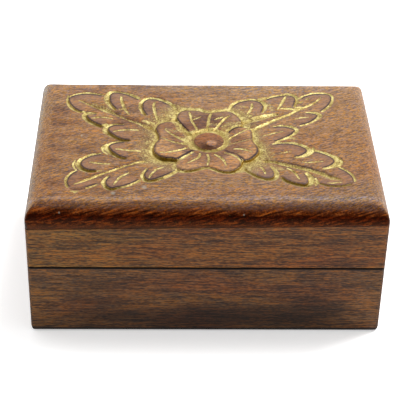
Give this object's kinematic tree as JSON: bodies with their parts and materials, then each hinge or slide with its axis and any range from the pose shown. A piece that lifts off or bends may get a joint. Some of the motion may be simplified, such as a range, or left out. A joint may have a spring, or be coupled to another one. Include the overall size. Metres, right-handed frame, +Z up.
{
  "type": "wooden trinket box",
  "caption": "Low rectangular wooden keepsake box: mitred base tray with felt floor, and a deep hinged lid with rounded edges and a carved, gold-painted flower and leaf sprays on top.",
  "frame": {"origin": "middle of the footprint, on the surface the box stands on", "axes": "+Z up, +X to the right seen from the front, front towards -Y, hinges at the back towards +Y"},
  "size_m": [0.15, 0.105, 0.0645],
  "materials": {
    "carved_panel": "satin stained hardwood, gold paint in the carving",
    "lid_wood": "satin stained hardwood",
    "base_wood": "satin stained hardwood",
    "bottom_wood": "plain, unstained",
    "felt": "matt pressed felt",
    "brass": "slightly tarnished",
    "steel": "dulled"
  },
  "bodies": {
    "base": {"base_front_wall": "base_wood", "base_back_wall": "base_wood", "base_left_wall": "base_wood", "base_right_wall": "base_wood", "base_bottom_panel": "bottom_wood", "base_lining": "felt", "base_corner_brads": "steel", "bottom_panel_brads": "steel", "hinge_left_base_leaf": "brass", "hinge_left_pin": "brass", "hinge_left_base_screws": "brass", "hinge_right_base_leaf": "brass", "hinge_right_pin": "brass", "hinge_right_base_screws": "brass"},
    "lid": {"lid_top_panel": "carved_panel", "lid_front_rail": "lid_wood", "lid_back_rail": "lid_wood", "lid_left_rail": "lid_wood", "lid_right_rail": "lid_wood", "lid_corner_brads": "steel", "hinge_left_lid_leaf": "brass", "hinge_left_lid_screws": "brass", "hinge_right_lid_leaf": "brass", "hinge_right_lid_screws": "brass"}
  },
  "joints": [
    {"name": "lid_hinge", "type": "hinge", "parent": "base", "child": "lid", "pos_m": [0, 0.0503, 0.0341], "axis": [-1, 0, 0], "range_deg": [0, 100]}
  ]
}
